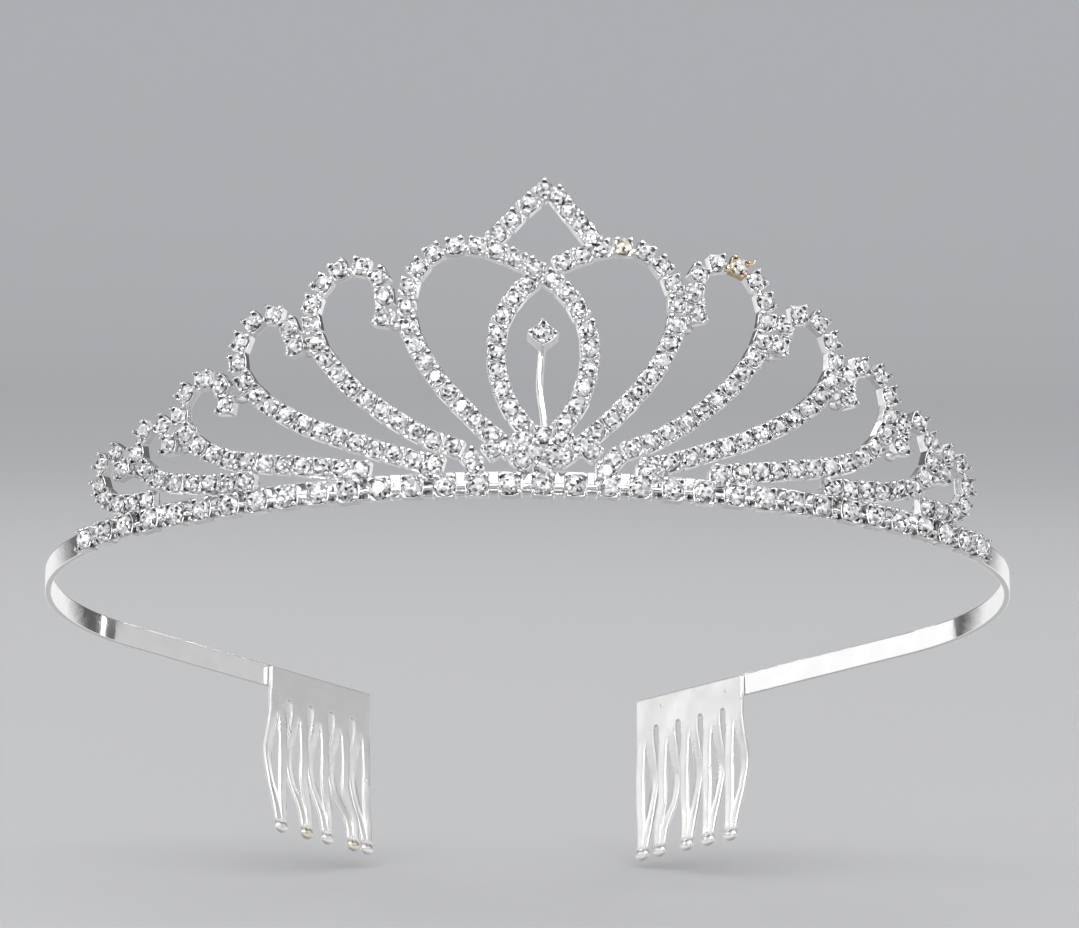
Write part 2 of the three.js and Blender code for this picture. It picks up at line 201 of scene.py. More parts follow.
def cup_joints(line, pitch):
    """Distances along a line where one cup ends and the next starts. Cups are further apart in a bend."""
    n = 400
    step = line.length / n
    count = [0.0]
    for i in range(n):
        bend = line.along(i * step).angle(line.along((i + 1) * step)) / step
        count.append(count[-1] + step / (pitch * (1 + BEND_SPREAD * bend)))
    cups = max(round(count[-1]), 2)
    joints, i = [], 0
    for joint in range(cups + 1):
        target = count[-1] * joint / cups
        while i < n - 1 and count[i + 1] < target:
            i += 1
        joints.append(step * (i + (target - count[i]) / (count[i + 1] - count[i])))
    return joints


def mirrored(points):
    return [(-u, z) for u, z in points]


def scroll_line(points, shift, lift, side):
    """A scroll's centre line, with its head moved by shift and lift and its foot left in place."""
    top = max(z for _, z in points)
    foot = points[-1][1]

    def share(z):
        t = min(max((z - foot) / (top - foot), 0), 1)
        return t * t * (3 - 2 * t)
    return [(side * (u + shift * share(z)), z + lift * share(z)) for u, z in points]


# ---- Mesh building ----

class Builder:
    """Gathers the vertices and faces of one mesh, in metres."""

    def __init__(self):
        self.verts, self.faces, self.smooth = [], [], []

    def add(self, verts, faces, matrix=Matrix.Identity(4), smooth=False):
        base = len(self.verts)
        self.verts += [matrix @ Vector(v) for v in verts]
        self.faces += [[base + i for i in f] for f in faces]
        self.smooth += [smooth] * len(faces)

    def mesh(self, name, look):
        me = bpy.data.meshes.new(name)
        me.from_pydata([tuple(v) for v in self.verts], [], self.faces)
        me.polygons.foreach_set("use_smooth", self.smooth)
        me.materials.append(look)
        me.update()
        ob = bpy.data.objects.new(name, me)
        bpy.context.scene.collection.objects.link(ob)
        return ob


def ring_faces(rings, sides, flip=False):
    """Faces of a closed tube of rings; flip turns them inside out, for a path that runs the other way."""
    faces = []
    for r in range(rings - 1):
        for k in range(sides):
            a, b = r * sides + k, r * sides + (k + 1) % sides
            faces.append([a, b, b + sides, a + sides])
    faces.append(list(range(sides))[::-1])
    faces.append([(rings - 1) * sides + k for k in range(sides)])
    return [f[::-1] for f in faces] if flip else faces


def wire_verts(line, count, sides, wide, thick, offset):
    """Rings of an oval wire whose centre line lies on the band at a fixed offset."""
    verts = []
    for i in range(count + 1):
        p, d = line.point(line.length * i / count), line.along(line.length * i / count)
        for k in range(sides):
            a = k * math.tau / sides
            across = math.cos(a) * wide
            verts.append(on_band(p.x + d.y * across, p.y - d.x * across, offset + math.sin(a) * thick))
    return verts


def square_ring(half, corner, z, dip=0):
    """16 points round a square with cut corners; the middle of each side lies lower by dip."""
    h = half - corner
    points = []
    for c, s in ((1, 0), (0, 1), (-1, 0), (0, -1)):
        for v, drop in ((-h, 0), (-h * 0.45, dip), (h * 0.45, dip), (h, 0)):
            points.append((half * c - v * s, half * s + v * c, z - drop))
    return points


RIM = 0.22  # height of a cup's rim above its middle, as a share of its depth


def cup_mesh(width, depth):
    """Square pressed cup, open towards +z, with its back at -depth/2 and its rim lower between corners."""
    h = width / 2
    back, rim, dip = -depth / 2, depth * RIM, 0.22
    rings = [
        square_ring(h * 0.3, h * 0.1, back + 0.12),
        square_ring(h * 0.42, h * 0.13, back),
        square_ring(h * 0.86, h * 0.2, back),
        square_ring(h * 0.96, h * 0.15, back + 0.12),
        square_ring(h, h * 0.13, back + 0.3),
        square_ring(h, h * 0.13, rim, dip),
        square_ring(h * 0.95, h * 0.15, rim + 0.05, dip),
        square_ring(h * 0.88, h * 0.2, rim, dip),
        square_ring(h * 0.84, h * 0.24, rim - 0.7),
    ]
    verts = [p for ring in rings for p in ring]
    return verts, ring_faces(len(rings), 16)


def prong_meshes(width, depth, splay):
    """Four corner claws that rise from the cup's corners and close over the stone's edge."""
    h = width / 2
    rim = depth * RIM
    # Each section of a claw: distance from the cup's axis, height, half width, half thickness.
    sections = [
        (h * 1.16, rim - 0.5, 0.2, 0.1),
        (h * (1.19 + splay), rim + 0.05, 0.28, 0.17),
        (h * (1.17 + splay), rim + 0.3, 0.3, 0.21),
        (h * (1.09 + splay), rim + 0.52, 0.3, 0.23),
        (h * (0.99 + splay), rim + 0.62, 0.26, 0.21),
        (h * (0.91 + splay), rim + 0.62, 0.17, 0.13),
    ]
    verts, faces = [], []
    for q in range(4):
        a = math.pi / 4 + q * math.pi / 2
        ca, sa = math.cos(a), math.sin(a)
        start = len(verts)
        for r, z, wide, thick in sections:
            for k in range(8):
                t = k * math.pi / 4 + math.pi / 8
                x, y = r + math.sin(t) * thick, math.cos(t) * wide
                verts.append((x * ca - y * sa, x * sa + y * ca, z))
        faces += [[start + i for i in f] for f in ring_faces(len(sections), 8)]
    return verts, faces


def circle(count, radius, z, turn=0.0):
    """Points evenly round a level circle, turned by a share of their spacing."""
    angles = [(k + turn) * math.tau / count for k in range(count)]
    return [(math.cos(a) * radius, math.sin(a) * radius, z) for a in angles]


def stone_mesh(radius, girdle, table_z, culet):
    """Brilliant cut: eight-sided table, star, kite and girdle facets, pointed back."""
    verts = [(0, 0, table_z)]
    verts += circle(8, radius * 0.56, table_z, 0.5)
    verts += circle(8, radius * 0.79, girdle + (table_z - girdle) * 0.58)
    verts += circle(16, radius, girdle)
    verts += circle(16, radius * 0.98, girdle - 0.14)
    verts.append((0, 0, culet))
    table, middle, upper, lower, point = 1, 9, 17, 33, 49
    faces = []
    for k in range(8):
        before, after = (k - 1) % 8, (k + 1) % 8
        g = 2 * k
        faces.append([0, table + before, table + k])
        faces.append([table + before, middle + k, table + k])
        faces.append([middle + k, upper + g, upper + (g + 1) % 16])
        faces.append([middle + k, upper + (g - 1) % 16, upper + g])
        faces.append([table + k, middle + k, upper + (g + 1) % 16, middle + after])
    for k in range(16):
        n = (k + 1) % 16
        faces.append([upper + k, lower + k, lower + n, upper + n])
        faces.append([lower + k, point, lower + n])
    return verts, faces


def jitter(turn, tip, shift):
    """Small hand-made error: turned about its own axis, tipped, and shifted."""
    return (
        Matrix.Translation([random.uniform(-shift, shift) for _ in range(3)])
        @ Matrix.Rotation(math.radians(random.uniform(-turn, turn)), 4, "Z")
        @ Matrix.Rotation(math.radians(random.uniform(-tip, tip)), 4, "X")
        @ Matrix.Rotation(math.radians(random.uniform(-tip, tip)), 4, "Y")
    )


# Cup and stone sizes. The stone's girdle, table and culet are heights above the middle of the cup.
SMALL = {"width": 2.7, "depth": 2.2, "splay": 0.0,
         "radius": 1.2, "girdle": 0.42, "table": 1.02, "culet": -0.5}
LARGE = {"width": 3.3, "depth": 2.5, "splay": 0.06,
         "radius": 1.5, "girdle": 0.5, "table": 1.2, "culet": -0.6}
SOLITAIRE = {"width": 3.3, "depth": 2.9, "splay": 0.0,
             "radius": 1.5, "girdle": 0.6, "table": 1.35, "culet": -0.8}
TAB_HALF = 0.2  # half thickness of the tab between two cups


class Chain:
    """The metal and the crystals of one length of cup chain."""

    def __init__(self):
        self.metal, self.crystal = Builder(), Builder()

    def cup(self, place, size, tip=4):
        place = place @ jitter(3, tip, 0.05)
        self.metal.add(*cup_mesh(size["width"], size["depth"]), place)
        self.metal.add(*prong_meshes(size["width"], size["depth"], size["splay"]), place, smooth=True)
        spin = Matrix.Rotation(random.uniform(0, math.tau), 4, "Z")
        lean = Matrix.Rotation(math.radians(random.uniform(-4, 4)), 4, "X")
        self.crystal.add(*stone_mesh(size["radius"], size["girdle"], size["table"], size["culet"]),
                         place @ lean @ spin)

    def link(self, a, b, width, level):
        """Flat tab between two neighbouring cups."""
        pa, pb = a @ Vector((0, 0, level)), b @ Vector((0, 0, level))
        forward = pb - pa
        length = forward.length / MM
        forward.normalize()
        outward = (a.col[2].to_3d() + b.col[2].to_3d()).normalized()
        across = outward.cross(forward).normalized()
        m = Matrix((forward, across, outward)).transposed().to_4x4() @ Matrix.Diagonal((MM, MM, MM, 1))
        m.translation = (pa + pb) / 2
        verts = []
        for x, w in ((-0.5, width), (-0.2, width * 0.72), (0.2, width * 0.72), (0.5, width)):
            verts += [(length * x, y * w / 2, z * TAB_HALF) for y, z, _ in circle(8, 1, 0, 0.5)]
        self.metal.add(verts, ring_faces(4, 8), m, smooth=True)

    def finish(self, name, node, metal, crystal):
        cups = self.metal.mesh(name + "_cups", metal)
        stones = self.crystal.mesh(name + "_crystals", crystal)
        for ob in (cups, stones):
            if node:
                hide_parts(node)
            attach(ob, "crown")
        return cups, stones


def chain_along(points, size, pitch, offset, tab, odd=None, odd_at=None):
    """Cups along a centre line. The cup nearest to odd_at goes to the chain called odd instead."""
    chain = Chain()
    line = Line(points)
    joints = cup_joints(line, pitch)
    places, spots = [], []
    for a, b in zip(joints, joints[1:]):
        p, d = line.point((a + b) / 2), line.along((a + b) / 2)
        places.append(place_at(p.x, p.y, offset, d.x, d.y))
        spots.append((p - Vector(odd_at)).length if odd else 0)
    for place, away in zip(places, spots):
        (odd if odd and away == min(spots) else chain).cup(place, size)
    for a, b in zip(places, places[1:]):
        chain.link(a, b, tab, -size["depth"] * 0.1)
    return chain


# ---- Materials ----

def material(name, build):
    """A material with one principled shader, whose inputs build fills in."""
    m = bpy.data.materials.new(name)
    m.use_nodes = True
    nt = m.node_tree
    nt.nodes.clear()
    out = nt.nodes.new("ShaderNodeOutputMaterial")
    shader = nt.nodes.new("ShaderNodeBsdfPrincipled")
    nt.links.new(shader.outputs[0], out.inputs["Surface"])
    build(nt, shader)
    return m


def ramp(nt, source, stops, interpolation="LINEAR"):
    """Colours by value; a stop's colour may be a single grey."""
    node = nt.nodes.new("ShaderNodeValToRGB")
    node.color_ramp.interpolation = interpolation
    while len(node.color_ramp.elements) < len(stops):
        node.color_ramp.elements.new(0.5)
    for element, (at, color) in zip(node.color_ramp.elements, stops):
        element.position = at
        element.color = (*color, 1) if len(color) == 3 else (color[0],) * 3 + (1,)
    nt.links.new(source, node.inputs[0])
    return node.outputs[0]


def noise(nt, scale, detail):
    coord = nt.nodes.new("ShaderNodeTexCoord")
    node = nt.nodes.new("ShaderNodeTexNoise")
    node.inputs["Scale"].default_value = scale
    node.inputs["Detail"].default_value = detail
    nt.links.new(coord.outputs["Object"], node.inputs["Vector"])
    return node.outputs["Fac"]


def bump(nt, shader, height, strength, distance):
    node = nt.nodes.new("ShaderNodeBump")
    node.inputs["Strength"].default_value = strength
    node.inputs["Distance"].default_value = distance
    nt.links.new(height, node.inputs["Height"])
    nt.links.new(node.outputs[0], shader.inputs["Normal"])


def silver(tone, low, high, tarnish, scale, dents=0.15):
    """Plated silver: roughness wanders from low to high as the tone dulls by tarnish, with fine dents."""
    def build(nt, shader):
        wander = noise(nt, scale, 4)
        dull = tuple(c * tarnish for c in tone)
        nt.links.new(ramp(nt, wander, [(0.3, dull), (0.62, tone)]), shader.inputs["Base Color"])
        nt.links.new(ramp(nt, wander, [(0.3, (high,)), (0.7, (low,))]), shader.inputs["Roughness"])
        shader.inputs["Metallic"].default_value = 1
        bump(nt, shader, noise(nt, scale * 3, 2), dents, 0.0001)
    return build


def crystal_build(tint):
    """Foil-backed glass: each cell tilts the light like a back facet seen through the table, and its base
    colour is painted dark, grey or bright as a painted reflection of the foil back.
    """
    spread = 1.2

    def build(nt, shader):
        coord = nt.nodes.new("ShaderNodeTexCoord")
        cells = nt.nodes.new("ShaderNodeTexVoronoi")
        cells.inputs["Scale"].default_value = 2600
        nt.links.new(coord.outputs["Object"], cells.inputs["Vector"])
        split = nt.nodes.new("ShaderNodeSeparateColor")
        nt.links.new(cells.outputs["Color"], split.inputs[0])
        # Painted reflections: the cells' colour steps from near black to full white, in place of the foil
        # back's internal reflections.
        stops = [(0.0, 0.06), (0.1, 0.4), (0.25, 0.74), (0.46, 1.0)]
        color = ramp(nt, split.outputs[0], [(p, tuple(t * v for t in tint)) for p, v in stops], "CONSTANT")
        nt.links.new(color, shader.inputs["Base Color"])
        centred = nt.nodes.new("ShaderNodeVectorMath")
        centred.operation = "MULTIPLY_ADD"
        centred.inputs[1].default_value = (spread,) * 3
        centred.inputs[2].default_value = (-spread / 2,) * 3
        nt.links.new(cells.outputs["Color"], centred.inputs[0])
        face = nt.nodes.new("ShaderNodeNewGeometry")
        tilt = nt.nodes.new("ShaderNodeVectorMath")
        tilt.operation = "ADD"
        nt.links.new(face.outputs["Normal"], tilt.inputs[0])
        nt.links.new(centred.outputs[0], tilt.inputs[1])
        unit = nt.nodes.new("ShaderNodeVectorMath")
        unit.operation = "NORMALIZE"
        nt.links.new(tilt.outputs[0], unit.inputs[0])
        nt.links.new(unit.outputs[0], shader.inputs["Normal"])
        shader.inputs["Metallic"].default_value = 0.6
        shader.inputs["Roughness"].default_value = 0.08
        shader.inputs["IOR"].default_value = 1.55
        shader.inputs["Coat Weight"].default_value = 1
        shader.inputs["Coat Roughness"].default_value = 0.02
    return build


STRIP_METAL = material("polished_band_silver", silver((0.95, 0.95, 0.955), 0.06, 0.13, 0.96, 260))
CUP_METAL = material("plated_cup_silver", silver((0.93, 0.93, 0.94), 0.1, 0.24, 0.86, 900))
COMB_METAL = material("pressed_comb_silver", silver((0.94, 0.94, 0.935), 0.26, 0.38, 0.95, 240, 0.03))
SOLDER = material("solder_grey", silver((0.78, 0.78, 0.79), 0.28, 0.45, 0.8, 900))
KNOB_STAIN = material("stained_knob_silver", silver((0.88, 0.84, 0.72), 0.24, 0.4, 0.85, 700, 0.03))
STAINED = material("stained_cup_gold", silver((0.84, 0.70, 0.46), 0.14, 0.3, 0.7, 1500))
CRYSTAL = material("foiled_crystal", crystal_build((0.98, 0.985, 1.0)))
WARM_CRYSTAL = material("warm_crystal", crystal_build((1.0, 0.95, 0.8)))

# ---- Headband ----

def strip(name, u_from, u_to):
    """Flat spring strip with softly rounded edges."""
    round_off = 0.2
    x, z = STRIP_THICKNESS / 2 - round_off, STRIP_HEIGHT / 2 - round_off
    section = []
    for corner_x, corner_z, start in ((x, z, 0), (-x, z, 90), (-x, -z, 180), (x, -z, 270)):
        for k in range(4):
            a = math.radians(start + k * 30)
            section.append((corner_x + math.cos(a) * round_off, corner_z + math.sin(a) * round_off))
    count = round(abs(u_to - u_from) / 1.5)
    verts = []
    for i in range(count + 1):
        u = u_from + (u_to - u_from) * i / count
        shrink = 0.75 if i == count and abs(u) > BEND_END else 1
        verts += [on_band(u, z * shrink, out * shrink) for out, z in section]
    b = Builder()
    b.add(verts, ring_faces(count + 1, len(section), u_to > u_from), smooth=True)
    ob = b.mesh(name, STRIP_METAL)
    soften = ob.modifiers.new("flats", "WEIGHTED_NORMAL")
    soften.keep_sharp = True
    return ob


front = strip("headband_front_strip", -FRONT_HALF, FRONT_HALF)
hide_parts("headband_front")
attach(front, "crown")
for side, name in ((-1, "left"), (1, "right")):
    arm = strip(f"headband_{name}_side_strip", side * FRONT_HALF, side * BAND_END[side])
    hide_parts(f"headband_{name}_arm", "headband_front")
    start, end = on_band(side * FLEX_FROM, 0, 0), on_band(side * FLEX_TO, 0, 0)
    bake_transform(arm)

# ---- Row of larger cups along the band ----

row = chain_along([(-ROW_HALF, ROW_HEIGHT), (0, ROW_HEIGHT), (ROW_HALF, ROW_HEIGHT)],
                  LARGE, ROW_PITCH, ROW_OFFSET, 1.1)
row.finish("band_row", "band_row_chain", CUP_METAL, CRYSTAL)

# ---- Crown ----

# The left loop's chain runs on through the crossing and down the right side of the almond.
CHAINS = {
    "left_loop": mirrored([(1.7, 1.9), (3.5, 3.3), (5.4, 5), (7.5, 7)] + LOOP) + CROSSING + ALMOND,
    "right_loop": LOOP_RISE + LOOP + [(1.5, 30.6)],
    "left_almond": mirrored([(1.1, 28.8)] + ALMOND),
    "left_peak": mirrored([(7.1, 34.3), (3.1, 38.5), (-1.3, 42.9)]),
    "right_peak": [(7.2, 34.1), (3.9, 38.4), (1.3, 41.9)],
}
for i, (points, left, right) in enumerate(SCROLLS, 1):
    CHAINS[f"left_scroll_{i}"] = scroll_line(points, *left, -1)
    CHAINS[f"right_scroll_{i}"] = scroll_line(points, *right, 1)
stained, warm = Chain(), Chain()
ODD = {"right_scroll_1": (stained, (27.2, 32.6)), "right_loop": (warm, (11, 33.9))}
for name, points in CHAINS.items():
    chain = chain_along(points, SMALL, CUP_PITCH, CHAIN_OFFSET, 0.9, *ODD.get(name, ()))
    chain.finish(name, name + "_chain", CUP_METAL, CRYSTAL)
# One cup has lost its plating and keeps two loose ends of wire; one stone is yellowish.
for path in ([(28.1, 32.8), (29.2, 33), (29.5, 33.7)], [(26.3, 31.9), (25.2, 31.5), (24.8, 31.8)]):
    verts = wire_verts(Line(path), 12, 8, 0.16, 0.16, CHAIN_OFFSET + 0.7)
    stained.metal.add(verts, ring_faces(13, 8), smooth=True)
stained.finish("stained", "right_scroll_1_chain", STAINED, CRYSTAL)
warm.finish("warm", "right_loop_chain", CUP_METAL, WARM_CRYSTAL)

# The dense knot of cups where the loops, the almond and the stem meet over the middle of the band.
knot = Chain()
for u, z, turn, out in ((-2.6, 5.8, 30, 0), (0, 6.2, 0, 0.1), (2.6, 5.8, -30, 0), (-1.3, 3.6, 25, 0.2),
                        (1.3, 3.6, -25, 0.2), (0, 1.3, 5, 0.1), (-6.7, 4.3, 40, 0), (6.4, 4.2, -40, 0)):
    place = place_at(u, z, CHAIN_OFFSET + out) @ Matrix.Rotation(math.radians(turn), 4, "Z")
    knot.cup(place, SMALL, 6)
knot.finish("centre_knot", None, CUP_METAL, CRYSTAL)

# Single cups that stand the inner scrolls on the band.
feet = Chain()
for u in (-9.2, 8.4, -14.9, 13.9, -25.8, 24):
    feet.cup(place_at(u, 1.3, CHAIN_OFFSET), SMALL, 6)
feet.finish("scroll_feet", None, CUP_METAL, CRYSTAL)

# Small flat blobs of solder behind every place where two chains, or a chain and the strip, touch.
SOLDERED = [(0, 29.6, 0), (-6.8, 34.3, 0), (6.9, 34.1, 0), (1, 41.7, 0), (0.2, 5.6, 0), (0, 2.2, 0)]
for side in (-1, 1):
    SOLDERED += [(side * u, z, 0) for u, z in ((20, 23), (32.4, 20.4), (42.6, 14.8), (52, 9), (60.2, 7))]
    SOLDERED += [(side * u, 2, 0.1) for u in (9.6, 14.6, 24.5, 41, 57.4)]


def solder():
    """Slightly lumpy blobs, each flatter than it is wide."""
    b = Builder()
    rings, sides = 6, 10
    for u, z, back in SOLDERED:
        wide, tall = random.uniform(0.9, 1.3), random.uniform(0.7, 1.0)
        place = place_at(u, z, CHAIN_OFFSET - 1.15 - back)
        verts = []
        for i in range(rings):
            a = math.pi * (i + 0.5) / rings
            for k in range(sides):
                c = k * math.tau / sides
                r = math.sin(a) * (1 + random.uniform(-0.07, 0.07))
                verts.append((math.cos(c) * r * wide, math.sin(c) * r * tall, -math.cos(a) * 0.42))
        b.add(verts, ring_faces(rings, sides), place, smooth=True)
    ob = b.mesh("solder_joints", SOLDER)
    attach(ob, "crown")


solder()

# ---- Stem and its stone ----

def stem():
    b = Builder()
    b.add(wire_verts(Line(STEM), 28, 12, 0.52, 0.48, 0.05), ring_faces(29, 12), smooth=True)
    ob = b.mesh("stem_round_wire", STRIP_METAL)
    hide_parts("stem_wire")
    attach(ob, "crown")


stem()
top = Chain()
place = (place_at(0, 20.7, 2.1) @ Matrix.Rotation(math.radians(-18), 4, "X")
         @ Matrix.Rotation(math.radians(42), 4, "Z"))
top.cup(place, SOLITAIRE, 0)
setting, stone = top.finish("stem_top", "stem_setting", CUP_METAL, CRYSTAL)
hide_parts("stem_stone")

# ---- Combs ----

TEETH, COMB_PITCH, SLOT, RISE = 5, 4.86, 1.2, 1.4
TOOTH = COMB_PITCH - SLOT
COMB_LENGTH = TEETH * COMB_PITCH - SLOT
SLOT_TOP, TIP = 4.6, 26.6


def comb_inward(t):
    """The teeth curve towards the head below the slots."""
    return -1.2 * (max(t - SLOT_TOP, 0) / (TIP - SLOT_TOP)) ** 2


def comb_point(side, s, t, w):
    """A point of the comb: s along the arm from the outer edge, t down, w out from its flat plate."""
    return on_band(side * (BAND_END[side] - COMB_LENGTH + s), RISE - t, -STRIP_THICKNESS / 2 - 0.4 + w)


def comb_plate(b, side):
    """Pressed sheet with a round-ended slot between teeth and a stub for each tooth."""
    half = 0.31
    slot_round = SLOT_TOP + SLOT / 2
    outline = [(0, 0)]
    for tooth in range(TEETH):
        start = tooth * COMB_PITCH
        middle = start + TOOTH / 2
        outline += [(start, slot_round), (start + 0.06, 7), (middle - 0.25, 7.1), (middle - 0.15, 8),
                    (middle, 8.4), (middle + 0.5, 9.2), (start + TOOTH - 0.06, 9.9),
                    (start + TOOTH, slot_round)]
        if tooth + 1 < TEETH:
            for k in range(1, 8):
                a = math.pi * k / 8
                outline.append((start + TOOTH + SLOT / 2 * (1 - math.cos(a)),
                                slot_round - math.sin(a) * SLOT / 2))
    outline += [(COMB_LENGTH, 0)]
    flat = bpy.data.meshes.new("flat")
    flat.from_pydata([(s, t, 0) for s, t in outline], [], [list(range(len(outline)))])
    work = bmesh.new()
    work.from_mesh(flat)
    bpy.data.meshes.remove(flat)
    bmesh.ops.triangulate(work, faces=work.faces[:], ngon_method="EAR_CLIP")
    made = bmesh.ops.extrude_face_region(work, geom=work.faces[:])
    for v in work.verts:
        v.co.z = -half
    for v in made["geom"]:
        if isinstance(v, bmesh.types.BMVert):
            v.co.z = half
    bmesh.ops.recalc_face_normals(work, faces=work.faces[:])
    rim = [e for e in work.edges if len(e.link_faces) == 2 and e.calc_face_angle() > 1]
    bmesh.ops.bevel(work, geom=rim, offset=0.12, segments=2, affect="EDGES", profile=0.5)
    work.verts.index_update()
    verts = [comb_point(side, v.co.x, v.co.y, v.co.z + comb_inward(v.co.y)) for v in work.verts]
    faces = [[v.index for v in f.verts] for f in work.faces]
    work.free()
    if side < 0:
        faces = [f[::-1] for f in faces]
    b.add(verts, faces)


def between(sizes, share):
    """The size at a share of the way along a list of evenly spaced sizes."""
    at = share * (len(sizes) - 1)
    k = min(int(at), len(sizes) - 2)
    return sizes[k] + (sizes[k + 1] - sizes[k]) * (at - k)


def comb_bar(b, side, path, wide, thick):
    """Flat bar with rounded edges along a path of (s, t, w); wide and thick are lists of sizes along it."""
    line = Line(path)
    count, sides = 34, 20
    verts = []
    for i in range(count + 1):
        share = i / count
        p, d = line.point(line.length * share), line.along(line.length * share)
        across = Vector((1, 0, 0))
        across = (across - d * across.dot(d)).normalized()
        deep = d.cross(across)
        w, h = between(wide, share), between(thick, share)
        for j in range(sides):
            a = j * math.tau / sides + math.pi / sides
            c, s = math.cos(a), math.sin(a)
            x = math.copysign(abs(c) ** 0.5, c) * w / 2
            y = math.copysign(abs(s) ** 0.5, s) * h / 2
            q = p + across * x + deep * y
            verts.append(comb_point(side, q.x, q.y, q.z + comb_inward(q.y)))
    b.add(verts, ring_faces(count + 1, sides, side > 0), smooth=True)


def comb_knob(b, side, s, t, wide=1.4, tall=0.95, deep=0.58, w=0.0):
    """A rounded lump on a comb, given by its half sizes: the blob at a tooth's tip, or a small bump."""
    rings, sides = 9, 14
    verts = []
    for i in range(rings):
        a = math.pi * (i + 0.5) / rings
        for j in range(sides):
            c = j * math.tau / sides
            r = math.sin(a)
            verts.append(comb_point(side, s + math.cos(c) * r * wide, t - math.cos(a) * tall,
                                    w + math.sin(c) * r * deep + comb_inward(t)))
    b.add(verts, ring_faces(rings, sides, side > 0), smooth=True)


# Where the knob of each tooth sits from the tooth's outer edge, from the outer tooth to the inner one.
KNOB_AT = {-1: (2, 2.95, 2.85, 4, 2.3), 1: (2.1, 2.05, 1.8, 2.9, 1.8)}
KNOB_DOWN = 25.3
STAINED_KNOBS = ((-1, 1), (-1, 3))
TINE_WIDE = [1.8, 1.85, 1.8, 1.7, 1.6, 1.45]
TINE_THICK = [0.5, 0.64, 0.66, 0.66, 0.66, 0.66]


def comb(side, name):
    """Each tooth is a pair of tines; the outer one of a pair is bent away from the head."""
    b, stains = Builder(), Builder()
    comb_plate(b, side)
    # The plate's outer edge is turned up, beside the end of the strip.
    comb_bar(b, side, [(0.22, 0.1, -0.25), (0.22, 2, -0.25), (0.22, 3.8, -0.25)], [0.5, 0.5], [0.55, 0.55])
    for tooth in range(TEETH):
        start = tooth * COMB_PITCH
        tip = start + KNOB_AT[side][tooth]
        comb_bar(b, side,
                 [(start + 0.95, SLOT_TOP, 0), (start + 0.93, 6, -0.08), (start + 0.88, 7.8, 0.1),
                  (start + 0.77, 10.2, 0.5), (start + 0.75, 13.2, 1.15), (start + 1.05, 17, 0.95),
                  (tip - 0.72, 21.2, 0.3), (tip - 0.5, 24.6, 0)],
                 TINE_WIDE, TINE_THICK)
        comb_bar(b, side,
                 [(start + 2.72, SLOT_TOP, 0), (start + 2.74, 6.5, -0.04), (start + 2.8, 10, -0.15),
                  (start + 2.78, 13, -0.2), (start + 2.7, 17, -0.1), (tip + 0.55, 21.2, 0),
                  (tip + 0.45, 24.6, 0)],
                 TINE_WIDE, TINE_THICK)
        comb_knob(stains if (side, tooth) in STAINED_KNOBS else b, side, tip, KNOB_DOWN)
    if side > 0:
        for s, t in ((3.5, 2), (17.6, 1.7)):
            comb_knob(b, side, s, t, 0.34, 0.28, 0.1, -0.31)
    pieces = [b.mesh(name + "_comb_sheet", COMB_METAL)]
    if stains.verts:
        pieces.append(stains.mesh(name + "_comb_stained_knobs", KNOB_STAIN))
    for ob in pieces:
        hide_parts(name + "_comb")
        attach(ob, name + "_arm")


comb(-1, "left")
comb(1, "right")

# ---- Floor, lights and camera ----

FLOOR_Z = cad_box[0].z - 0.0005


def stage():
    """Wide round floor that rises gently at its far edge. The metal reflects the room instead of it."""
    flat, sweep_radius, sides = 1.9, 1.6, 64
    rings = [(1.0, 0), (flat, 0)]
    for k in range(1, 9):
        a = math.radians(k * 8)
        rings.append((flat + math.sin(a) * sweep_radius, (1 - math.cos(a)) * sweep_radius))
    verts = [(0, 0, FLOOR_Z)]
    for r, z in rings:
        verts += circle(sides, r, FLOOR_Z + z)
    floor = [[0, 1 + k, 1 + (k + 1) % sides] for k in range(sides)]
    sweep = []
    for r in range(len(rings) - 1):
        for k in range(sides):
            a, b = 1 + r * sides + k, 1 + r * sides + (k + 1) % sides
            sweep.append([a, a + sides, b + sides, b])
    for name, part in (("studio_floor", floor), ("studio_sweep", sweep)):
        me = bpy.data.meshes.new(name)
        me.from_pydata(verts, [], part)
        me.polygons.foreach_set("use_smooth", [True] * len(part))
        ob = bpy.data.objects.new(name, me)
        bpy.context.scene.collection.objects.link(ob)
        ob.visible_glossy = False
        me.materials.append(FLOOR)


def floor_build(nt, shader):
    """Pale grey that brightens with distance from the middle, as painted shade that evens out the pool of
    lamp light in the middle, with a faint grain.
    """
    coord = nt.nodes.new("ShaderNodeTexCoord")
    reach = nt.nodes.new("ShaderNodeVectorMath")
    reach.operation = "LENGTH"
    nt.links.new(coord.outputs["Object"], reach.inputs[0])
    grain = nt.nodes.new("ShaderNodeMath")
    grain.operation = "MULTIPLY_ADD"
    nt.links.new(noise(nt, 5, 2), grain.inputs[0])
    grain.inputs[1].default_value = 0.05
    nt.links.new(reach.outputs["Value"], grain.inputs[2])
    # Painted shade: the colour is darker near the middle, where the lamps light the floor most, to even out
    # their pool of light.
    nt.links.new(ramp(nt, grain.outputs[0], [(0.1, (0.37, 0.37, 0.375)), (1.0, (0.47, 0.47, 0.48))]),
                 shader.inputs["Base Color"])
    shader.inputs["Roughness"].default_value = 0.6
    shader.inputs["Specular IOR Level"].default_value = 0.2


FLOOR = material("pale_floor", floor_build)
stage()


